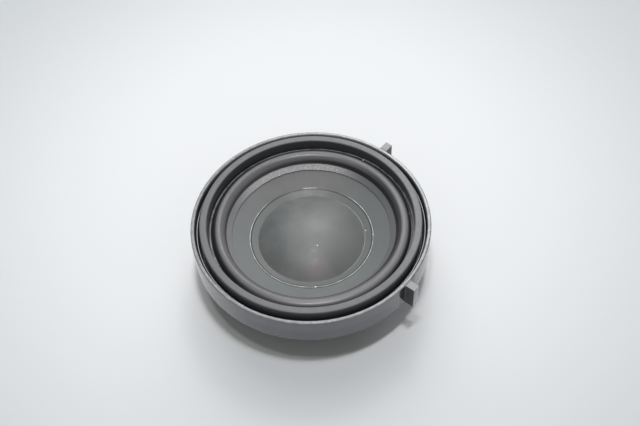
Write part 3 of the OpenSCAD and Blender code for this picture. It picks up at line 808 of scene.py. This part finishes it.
def make_ring():
    outline = outline_of("mounting_ring", lambda p: LIP_ROUND if p[0] > LEDGE_OUT else LEDGE_ROUND)
    ring = link("ring_shell", turned("ring_shell", outline))
    skirt_r = max(r for r, z in outline)
    reach = max(math.hypot(v.co.x, v.co.y) for v in nodes["mounting_ring"].data.vertices) / MM
    far = math.sqrt(reach**2 - (LUG_T / 2) ** 2)
    lug = prism("lug", lug_outline(skirt_r, far), LIP_Z - LUG_H, LIP_Z - LUG_SUNK, LUG_ROUND)
    combine(ring, copies("lugs", lug, [around(LUG_ANGLE), around(-LUG_ANGLE)]), "UNION")
    holes = copies("holes", pin(SCREW_HOLE_R, *SCREW_HOLE_Z), [around(a, SCREW_AT) for a in SCREW_ANGLES])
    combine(ring, holes, "DIFFERENCE")
    smooth(ring.data)
    dress(ring, "frame", "mounting_ring")


make_ring()


# Front: gasket, surround, cone and dust cap
GASKET_ROUND = 0.4
SURROUND_ROUND = 0.15

# The glued skirt's uneven inner edge
RAGGED_R = 31.0
RAGGED_BY = 0.16
RAGGED_RISE = 0.75
RAGGED_SEED = 5
CONE_ROUND = 0.1
CAP_ROUND = 0.12

# Two points (radius, height) of the cone's wall, and the eyelets' holes in it
CONE_LOW = (12.95, 11.3)
CONE_HIGH = (30, 19.43)
EYELET_HOLE_R = 0.75
EYELET_AT = (17.55, 13.49)
EYELET_ANGLES = (75, 105)


def wander(angle, seed, size):
    """A smooth random offset round a circle, the same each run, of about that size."""
    source = random.Random(seed)
    waves = [(k, source.uniform(0.4, 1) / k**0.5, source.uniform(0, 2 * math.pi)) for k in range(2, 40, 3)]
    return size * sum(a * math.sin(k * angle + p) for k, a, p in waves) / 2


def make_ragged(mesh):
    """Makes the inner edge of the glued skirt uneven, along the cone's slope."""
    for v in mesh.vertices:
        a, r, z = math.atan2(v.co.y, v.co.x), math.hypot(v.co.x, v.co.y) / MM, v.co.z / MM
        shift = min(max(RAGGED_R - r, 0), 1) * wander(a, RAGGED_SEED, RAGGED_BY)
        r, z = r + shift, z + shift * RAGGED_RISE
        v.co = (r * math.cos(a) * MM, r * math.sin(a) * MM, z * MM)
    mesh.update()


def cut_outline(outline, r_cut, side):
    """The part of a closed outline on one side of a radius, closed along that radius."""
    kept = []
    for i, p in enumerate(outline):
        q = outline[(i + 1) % len(outline)]
        if (p[0] - r_cut) * side >= 0:
            kept.append(p)
        if (p[0] - r_cut) * (q[0] - r_cut) < 0:
            t = (r_cut - p[0]) / (q[0] - p[0])
            kept.append((r_cut, p[1] + t * (q[1] - p[1])))
    return kept


def surround_part(name, outline, side):
    return link(name, turned(name, rounded(cut_outline(outline, ROLL_R, side), SURROUND_ROUND, 40)))


def make_surround():
    """The surround in two pieces, cut at the top of its roll: only the inner one lies on the cone."""
    outline = tidy(section("surround", 0))
    dress(surround_part("surround_outer", outline, 1), "frame", "surround")
    inner = surround_part("surround_inner", outline, -1)
    make_ragged(inner.data)
    dress(inner, None, "surround")
    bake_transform(inner)


def make_front():
    gasket = link("gasket_ring", turned("gasket_ring", outline_of("front_gasket", GASKET_ROUND)))
    dress(gasket, "frame", "front_gasket")
    make_surround()
    cone = link("cone_shell", turned("cone_shell", outline_of("cone", CONE_ROUND, corner=40)))
    slope = math.atan2(CONE_HIGH[1] - CONE_LOW[1], CONE_HIGH[0] - CONE_LOW[0])
    lean = Matrix.Rotation(-slope, 4, "Y")
    places = [around(a, *EYELET_AT) @ lean for a in EYELET_ANGLES]
    combine(cone, copies("eyelet_holes", pin(EYELET_HOLE_R, -2, 2), places), "DIFFERENCE")
    smooth(cone.data)
    dress(cone, "diaphragm", "cone")
    cap = link("cap_dome", turned("cap_dome", outline_of("dust_cap", CAP_ROUND, corner=20)))
    dress(cap, "diaphragm", "dust_cap")


make_front()


# Back: basket, seal, screws and magnet cup
WINDOW_IN = 28.85
WINDOW_OUT = 35.91
WINDOW_Z = (8, 24)
WINDOW_ANGLE = 60
WINDOW_CORNER = 0.9
WINDOW_STEPS = 24
WINDOW_MIDDLES = (45, 135, 225, 315)
WEB_T = 1.2
WEB_ROUND = 0.2
WEB_ANGLES = (0, 180, 270)

# Outlines as (radius, height) of a web, the rim's bead and a screw
WEB = ((22.7, 7.5), (27.01, 7.5), (32.92, 13.76), (31.76, 14.86), (31.1, 15.05), (26.1, 9.7), (22.9, 9.0))
BEAD = (
    (RIM_R - 0.4, RIM_Z - 0.4), (RIM_R - 0.06, RIM_Z - 0.4), (BEAD_R, BEAD_Z - 0.2), (BEAD_R - 0.05, BEAD_Z),
    (BEAD_R - 0.3, BEAD_Z), (RIM_R - 0.4, RIM_Z + 0.3),
)
SCREW_HEAD = (
    (0, 15.485), (0.9, 15.5), (1.5, 15.62), (1.86, 15.9), (2, 16.3), (2, 16.685), (1.1, 16.685),
    (1.1, 20.7), (0.8, 20.785), (0, 20.785),
)

# Screw bosses, the board's pad and rivet hole, and a screw's recess; rectangles are (x0, y0, x1, y1)
BOSS_R = 2.1
BOSS_ROUND = 0.2
BOSS_Z = (18.385, 22)
PAD = (-6.5, 26.9, 6.5, 34.3)
PAD_CORNER = 1.2
PAD_ROUND = 0.15
PAD_Z = (11.2, 12.4)
RIVET_Y = 31.857
RIVET_HOLE_R = 1.15
RIVET_HOLE_Z = (10, 14)
RECESS = (-1.2, -0.28, 1.2, 0.28)
RECESS_CORNER = 0.2
RECESS_ROUND = 0.12
RECESS_Z = (15.3, 15.99)
SCREW_SEED = 11


def spun(x, y, a):
    """The point (x, y) turned round the origin by the angle a in radians."""
    return x * math.cos(a) - y * math.sin(a), x * math.sin(a) + y * math.cos(a)


def window_outline(middle):
    """A window seen from above, with rounded corners."""
    half = math.radians(WINDOW_ANGLE / 2)
    c = WINDOW_CORNER
    points = []
    for r, turn in ((WINDOW_IN, 1), (WINDOW_OUT, -1)):
        corner_r = r + c * turn
        edge = half - math.asin(c / corner_r)
        ends = []
        for k in range(ROUND_STEPS + 1):
            b = math.pi / 2 * k / ROUND_STEPS
            ends.append(spun(corner_r - turn * c * math.cos(b), c * math.sin(b), edge))
        arc = [spun(r, 0, 2 * edge * k / WINDOW_STEPS - edge) for k in range(1, WINDOW_STEPS)]
        low = [(x, -y) for x, y in reversed(ends)]
        side = low + arc + ends
        points += side if turn > 0 else side[::-1]
    return [spun(x, y, math.radians(middle)) for x, y in points]


def box_outline(x0, y0, x1, y1, corner):
    """A rectangle with rounded corners."""
    points = []
    for x, y, turn in ((x1, y1, 0), (x0, y1, 1), (x0, y0, 2), (x1, y0, 3)):
        cx = x - corner if x == x1 else x + corner
        cy = y - corner if y == y1 else y + corner
        for k in range(ROUND_STEPS + 1):
            a = math.pi / 2 * (turn + k / ROUND_STEPS)
            points.append((cx + corner * math.cos(a), cy + corner * math.sin(a)))
    return points


def upright(mesh, angle):
    """Stands a prism made over (radius, height) points in the half plane at that angle, centred on it."""
    mesh.transform(Matrix.Rotation(math.radians(90), 4, "X"))
    mesh.transform(Matrix.Rotation(math.radians(angle), 4, "Z"))
    return mesh


def make_basket():
    """The basket, with windows, webs, screw bosses, the board's pad and a thin bead on its rim."""
    basket = link("basket_moulding", turned("basket_moulding", outline_of("basket", 0.25, azimuth=10)))
    for middle in WINDOW_MIDDLES:
        combine(basket, prism("window", window_outline(middle), *WINDOW_Z), "DIFFERENCE")
    combine(basket, turned("bead", rounded(BEAD, 0.06)), "UNION")
    for angle in WEB_ANGLES:
        web = upright(prism("web", WEB, -WEB_T / 2, WEB_T / 2, WEB_ROUND), angle)
        combine(basket, web, "UNION")
    boss = turned("boss", rounded(pin_outline(BOSS_R, *BOSS_Z), BOSS_ROUND), SMALL_STEPS)
    for angle in SCREW_ANGLES:
        combine(basket, copies("boss_at", boss, [around(angle, SCREW_AT)]), "UNION")
    combine(basket, prism("pad", box_outline(*PAD, PAD_CORNER), *PAD_Z, PAD_ROUND), "UNION")
    bore = copies("bore", pin(RIVET_HOLE_R, *RIVET_HOLE_Z), [Matrix.Translation((0, RIVET_Y, 0))])
    combine(basket, bore, "DIFFERENCE")
    smooth(basket.data)
    dress(basket, "frame", "basket")
    for name, node, edge in (("seal_ring", "basket_seal", 0.12), ("cup_turned", "magnet_cup", 0.3)):
        dress(link(name, turned(name, outline_of(node, edge))), "frame", node)


make_basket()


def make_screws():
    """Four pan head screws, heads down, each with a cross recess turned its own way."""
    source = random.Random(SCREW_SEED)
    screw = link("screw", turned("screw", rounded(SCREW_HEAD, 0.1, 40), SMALL_STEPS))
    for angle in (0, 90):
        arm = prism("arm", box_outline(*RECESS, RECESS_CORNER), *RECESS_Z, RECESS_ROUND)
        arm.transform(Matrix.Rotation(math.radians(angle), 4, "Z"))
        combine(screw, arm, "DIFFERENCE")
    turns = [Matrix.Rotation(source.uniform(0, math.pi / 2), 4, "Z") for _ in SCREW_ANGLES]
    places = [around(a, SCREW_AT) @ turn for a, turn in zip(SCREW_ANGLES, turns)]
    screws = link("pan_screws", copies("pan_screws", screw.data, places))
    bpy.data.objects.remove(screw)
    dress(screws, "frame", "basket_screws")


make_screws()


# Spider in eight sectors
SECTORS = 8


def make_spider():
    outline = rounded(tidy(section("spider", 0), bend=1), 0.1, 60)
    n = len(outline)
    steps = TURN_STEPS // SECTORS
    for k in range(SECTORS):
        middle = 360 / SECTORS * (k + 0.5)
        points, faces = [], []
        for i in range(steps + 1):
            a = math.radians(middle + 360 / SECTORS * (i / steps - 0.5))
            points += [(r * math.cos(a), r * math.sin(a), z) for r, z in outline]
        for i in range(0, steps * n, n):
            faces += [[i + j, i + (j + 1) % n, i + n + (j + 1) % n, i + n + j] for j in range(n)]
        mesh = plain_mesh("cloth", points, faces)
        smooth(mesh)
        piece = link(f"spider_sector_{k + 1}", mesh)
        dress(piece, None, "spider")
        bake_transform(piece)


make_spider()


# Leads: tinsel braids from the solder joints to the eyelets
LEAD_D = 0.9
LEAD_TURN = 2.4
LEAD_STEPS = 40
LEAD_SIDES = 36
LEAD_STRANDS = 6
LEAD_Z = 12.95
LEAD_BENDS = ((11.00, 31.95, 13.96), (10.45, 27.96, 14.98), (7.02, 22.26, 13.95), (4.61, 17.22, 12.04))
SOLDER_X = {"positive": -8.15, "negative": 7.15}
SOLDER_Y = 35.7


def through(points, steps):
    """A smooth curve through the points, which the construction's own leads follow too."""
    p = [Vector(c) for c in points]
    q = [p[0] * 2 - p[1]] + p + [p[-1] * 2 - p[-2]]
    curve = []
    for i in range(1, len(p)):
        a, b, c, d = q[i - 1 : i + 3]
        for t in [k / steps for k in range(steps)]:
            curve.append(0.5 * (
                2 * b + (c - a) * t + (2 * a - 5 * b + 4 * c - d) * t**2
                + (3 * b - a - 3 * c + d) * t**3
            ))
    return curve + [p[-1]]


def braid(name, curve, diameter):
    """A tube whose surface is six strands twisted round the curve."""
    sides = LEAD_SIDES
    points, faces, run = [], [], 0
    for i, c in enumerate(curve):
        t = (curve[min(i + 1, len(curve) - 1)] - curve[max(i - 1, 0)]).normalized()
        s = t.cross(Vector((0, 0, 1))).normalized()
        u = s.cross(t)
        if i:
            run += (c - curve[i - 1]).length
        for k in range(sides):
            a = 2 * math.pi * k / sides
            strand = abs(math.sin(LEAD_STRANDS / 2 * (a - 2 * math.pi * run / LEAD_TURN)))
            r = diameter / 2 * (0.8 + 0.2 * strand**0.5)
            points.append(c + r * (math.cos(a) * s + math.sin(a) * u))
    for i in range(len(curve) - 1):
        for k in range(sides):
            j = (k + 1) % sides
            faces.append([i * sides + k, i * sides + j, (i + 1) * sides + j, (i + 1) * sides + k])
    faces.append(list(range(sides)))
    faces.append(list(range((len(curve) - 1) * sides, len(curve) * sides)))
    return mesh_from(name, points, faces, 60)


for side, x in SOLDER_X.items():
    route = [(x, SOLDER_Y, LEAD_Z)] + [(math.copysign(a, x), b, c) for a, b, c in LEAD_BENDS]
    piece = link(f"{side}_braid", braid(f"{side}_braid", through(route, LEAD_STEPS), LEAD_D))
    dress(piece, None, f"{side}_lead")
    tuple(c * MM for c in route[0])
    tuple(c * MM for c in route[-1])
    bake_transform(piece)


# Terminals: board, tabs, rivets and solder
BOARD = (-9.5, 28.6, 9.5, 39.2)
BOARD_CORNER = 0.6
BOARD_ROUND = 0.08
BOARD_Z = (10, 11.2)
TAB_X = 4.8
TAB_T = 0.8
TAB_CORNER = 0.25
TAB_ROUND = 0.1
TAB_IN = 34.6
TAB_TIP = 43.2
WING_W = 1.9
WING_L = 2.2
TAB_RIVET_Y = 36.9
TAB_RIVET_HOLE_R = 0.85
DRILL_Z = (5, 20)

# Name, middle, width and outer side of each tab
TABS = (("positive", -TAB_X, 4.8, -1), ("negative", TAB_X, 2.8, 1))

# Rivets: radii of shank and head, height of the head, and the two faces that they hold
TAB_RIVET = (0.8, 1.25, 0.25, 10, 12)
BOARD_RIVET = (1.1, 1.9, 0.5, 10, 12.4)

# Outline as (radius, height) of a solder joint
SOLDER = ((0, 13.05), (0.35, 13.0), (0.55, 12.75), (0.62, 12.4), (0.78, 12.12), (0.98, 12), (0, 12))


def drilled(mesh, holes):
    """A plate with round holes, each (x, y, radius)."""
    piece = link("plate", mesh)
    for x, y, r in holes:
        combine(piece, copies("drill", pin(r, *DRILL_Z), [Matrix.Translation((x, y, 0))]), "DIFFERENCE")
    smooth(piece.data)
    mesh = piece.data
    bpy.data.objects.remove(piece)
    return mesh


def tab_outline(x, w, side):
    """A tab seen from above: a blade of width w with a wing on its outer side."""
    near, edge, wing_top = x - side * w / 2, x + side * w / 2, TAB_IN + WING_L
    wing, taper = edge + side * WING_W, TAB_TIP - w / 4
    return [
        (near, TAB_IN), (wing, TAB_IN), (wing, wing_top), (edge, wing_top), (edge, taper),
        (x + side * w / 4, TAB_TIP), (x - side * w / 4, TAB_TIP), (near, taper),
    ]


def rivet(r, head_r, head_h, z0, z1):
    """A hollow rivet with a rolled head at each end."""
    low = [(r / 2, -head_h), (r * 0.7, -head_h), (head_r * 0.9, -head_h * 0.7), (head_r, 0), (r, 0)]
    outline = [(x, z0 + z) for x, z in low] + [(x, z1 - z) for x, z in reversed(low)]
    return turned("rivet", rounded(outline, 0.12, 15), SMALL_STEPS)


def make_terminals():
    holes = [(0, RIVET_Y, RIVET_HOLE_R)] + [(x, TAB_RIVET_Y, TAB_RIVET_HOLE_R) for x in (-TAB_X, TAB_X)]
    board = prism("board_plate", box_outline(*BOARD, BOARD_CORNER), *BOARD_Z, BOARD_ROUND)
    dress(link("board_plate", drilled(board, holes)), "frame", "terminal_board")
    top = BOARD_Z[1]
    for name, x, w, side in TABS:
        outline = rounded(tab_outline(x, w, side), TAB_CORNER, 40)
        blade = prism(f"{name}_blade", outline, top, top + TAB_T, TAB_ROUND)
        piece = link(f"{name}_blade", drilled(blade, [(x, TAB_RIVET_Y, TAB_RIVET_HOLE_R)]))
        dress(piece, "frame", f"{name}_tab")
    blob = turned("blob", rounded(SOLDER, 0.15, 10), SMALL_STEPS)
    for name, mesh, xs, y, node in (
        ("tab_rivet_pair", rivet(*TAB_RIVET), (-TAB_X, TAB_X), TAB_RIVET_Y, "tab_rivets"),
        ("pad_rivet", rivet(*BOARD_RIVET), (0,), RIVET_Y, "board_rivet"),
        ("solder_blobs", blob, SOLDER_X.values(), SOLDER_Y, "solder_joints"),
    ):
        places = [Matrix.Translation((x, y, 0)) for x in xs]
        dress(link(name, copies(name, mesh, places)), "frame", node)


make_terminals()


# Floor, lamps and world
FLOOR_RINGS = (17, 60, 150, 400, 1200, 6000)
FLOOR_STEPS = 96
FLOOR_DROP = 0.02
# Table colours: near, and far as painted shade; then the painted shadow in front, and the painted shadow
# under the ring
FLOOR_COLOUR = (0.81, 0.825, 0.84)
FAR_COLOUR = (0.555, 0.58, 0.59)
SHADOW_POOL_COLOUR = (0.66, 0.68, 0.70)
UNDER_SHADOW_COLOUR = (0.57, 0.575, 0.565)
SUN_ANGLE = 5

# Name, strength, and how far it leans to the right and to the back
SUNS = (("ceiling_light_right", 0.88, 0.05, -0.025), ("ceiling_light_left", 0.42, -0.095, -0.11))

# Name, side, elevation, half the angle that it spans, radiance, and distance in metres
SOFT_BOXES = (("soft_box", 10, 49, 7, 8, 1.2), ("wide_soft_box", 0, 52, 24, 1.9, 1.6))

# Light of the world overhead and at the height of the eye, and how much more comes from the right
SKY_LIGHT = 0.3
HORIZON_LIGHT = 0.55
RIGHT_LIGHT = 1.2
WORLD_COLOUR = (0.98, 0.99, 1.0)


def make_floor():
    """A pale table with painted shade far away and painted shadows in front and under the ring, open under
    the cup and clear from below.
    """
    bm = bmesh.new()
    rings = []
    for r in FLOOR_RINGS:
        turns = [2 * math.pi * i / FLOOR_STEPS for i in range(FLOOR_STEPS)]
        rings.append([bm.verts.new((r * MM * math.cos(a), r * MM * math.sin(a), 0)) for a in turns])
    for inner, outer in zip(rings, rings[1:]):
        for i in range(FLOOR_STEPS):
            j = (i + 1) % FLOOR_STEPS
            bm.faces.new((inner[i], outer[i], outer[j], inner[j]))
    mesh = bpy.data.meshes.new("floor")
    bm.to_mesh(mesh)
    bm.free()
    floor = link("floor", mesh)
    floor.location.z = -FLOOR_DROP * MM
    p = Paint("floor", specular=0.2)
    # Painted shade: the table darker far from the object, down to the world's colour at the horizon.
    tone = p.blend(FLOOR_COLOUR, FAR_COLOUR, p.over(p.away(0, 40), 60, 212))
    # Painted shadow: a soft dark patch in front of the object, weaker right next to the ring.
    shadow_pool = p.times(p.over(p.away(-8, -70), 90, 10), p.over(p.away(), 43, 72, 0.62, 1))
    tone = p.blend(tone, SHADOW_POOL_COLOUR, shadow_pool)
    # Painted shadow under the ring, centred a little to the left and fading out on the right.
    shadow_under_ring = p.times(p.over(p.away(-1.8, 0), 47, 43), p.over(p.axis(0), 30, 8))
    p.done(p.blend(tone, UNDER_SHADOW_COLOUR, shadow_under_ring), 0.7)
    from_below = p.node("ShaderNodeNewGeometry", out="Backfacing")
    clear = p.node("ShaderNodeBsdfTransparent")
    either = p.node("ShaderNodeMixShader", {0: from_below, 1: p.shader.outputs[0], 2: clear})
    join(p.tree, either, p.output.inputs[0])
    mesh.materials.append(p.material)


make_floor()


def from_camera_side(side, elevation):
    """A direction given by its angle towards +X from straight behind the object, and its elevation."""
    a = math.radians(90 - side + CAMERA_AZIMUTH)
    e = math.radians(elevation)
    return Vector((math.cos(a) * math.cos(e), math.sin(a) * math.cos(e), math.sin(e)))


def place_lamp(name, kind, towards, distance=1.0):
    """A lamp in that direction from the object, which points back at it."""
    holder = bpy.data.objects.new(name, bpy.data.lights.new(name, kind))
    holder.rotation_mode = "QUATERNION"
    holder.rotation_quaternion = towards.to_track_quat("Z", "Y")
    holder.location = towards.normalized() * distance
    bpy.context.scene.collection.objects.link(holder)
    return holder


def make_lamps():
    for name, strength, x, y in SUNS:
        tilt = Vector((x, y, 1))
        tilt.rotate(Matrix.Rotation(math.radians(CAMERA_AZIMUTH), 3, "Z"))
        sun = place_lamp(name, "SUN", tilt)
        sun.data.energy = strength
        sun.data.angle = math.radians(SUN_ANGLE)
    for name, side, elevation, half_angle, radiance, distance in SOFT_BOXES:
        box = place_lamp(name, "AREA", from_camera_side(side, elevation), distance)
        radius = distance * math.tan(math.radians(half_angle))
        box.data.shape = "DISK"
        box.data.size = 2 * radius
        box.data.energy = radiance * math.pi * math.pi * radius**2
        box.visible_camera = False


def make_world():
    """A plain studio: pale at the height of the eye, darker overhead, and paler on the right."""
    world = bpy.data.worlds.new("studio")
    bpy.context.scene.world = world
    world.use_nodes = True
    tree = world.node_tree
    tree.nodes.clear()
    seen = add_node(tree, "ShaderNodeTexCoord", out="Generated")
    to_right, height = (add_node(tree, "ShaderNodeSeparateXYZ", {0: seen}, out=k) for k in (0, 2))
    sky = ramp(tree, height, 0.05, 0.45, HORIZON_LIGHT, SKY_LIGHT)
    paler = ramp(tree, to_right, 0.2, 0.9, 1.0, RIGHT_LIGHT)
    strength = add_node(tree, "ShaderNodeMath", {0: sky, 1: paler}, operation="MULTIPLY")
    shown = add_node(tree, "ShaderNodeBackground", {"Color": WORLD_COLOUR, "Strength": strength})
    add_node(tree, "ShaderNodeOutputWorld", {"Surface": shown})


make_lamps()
make_world()
bpy.context.scene.view_settings.view_transform = "Standard"
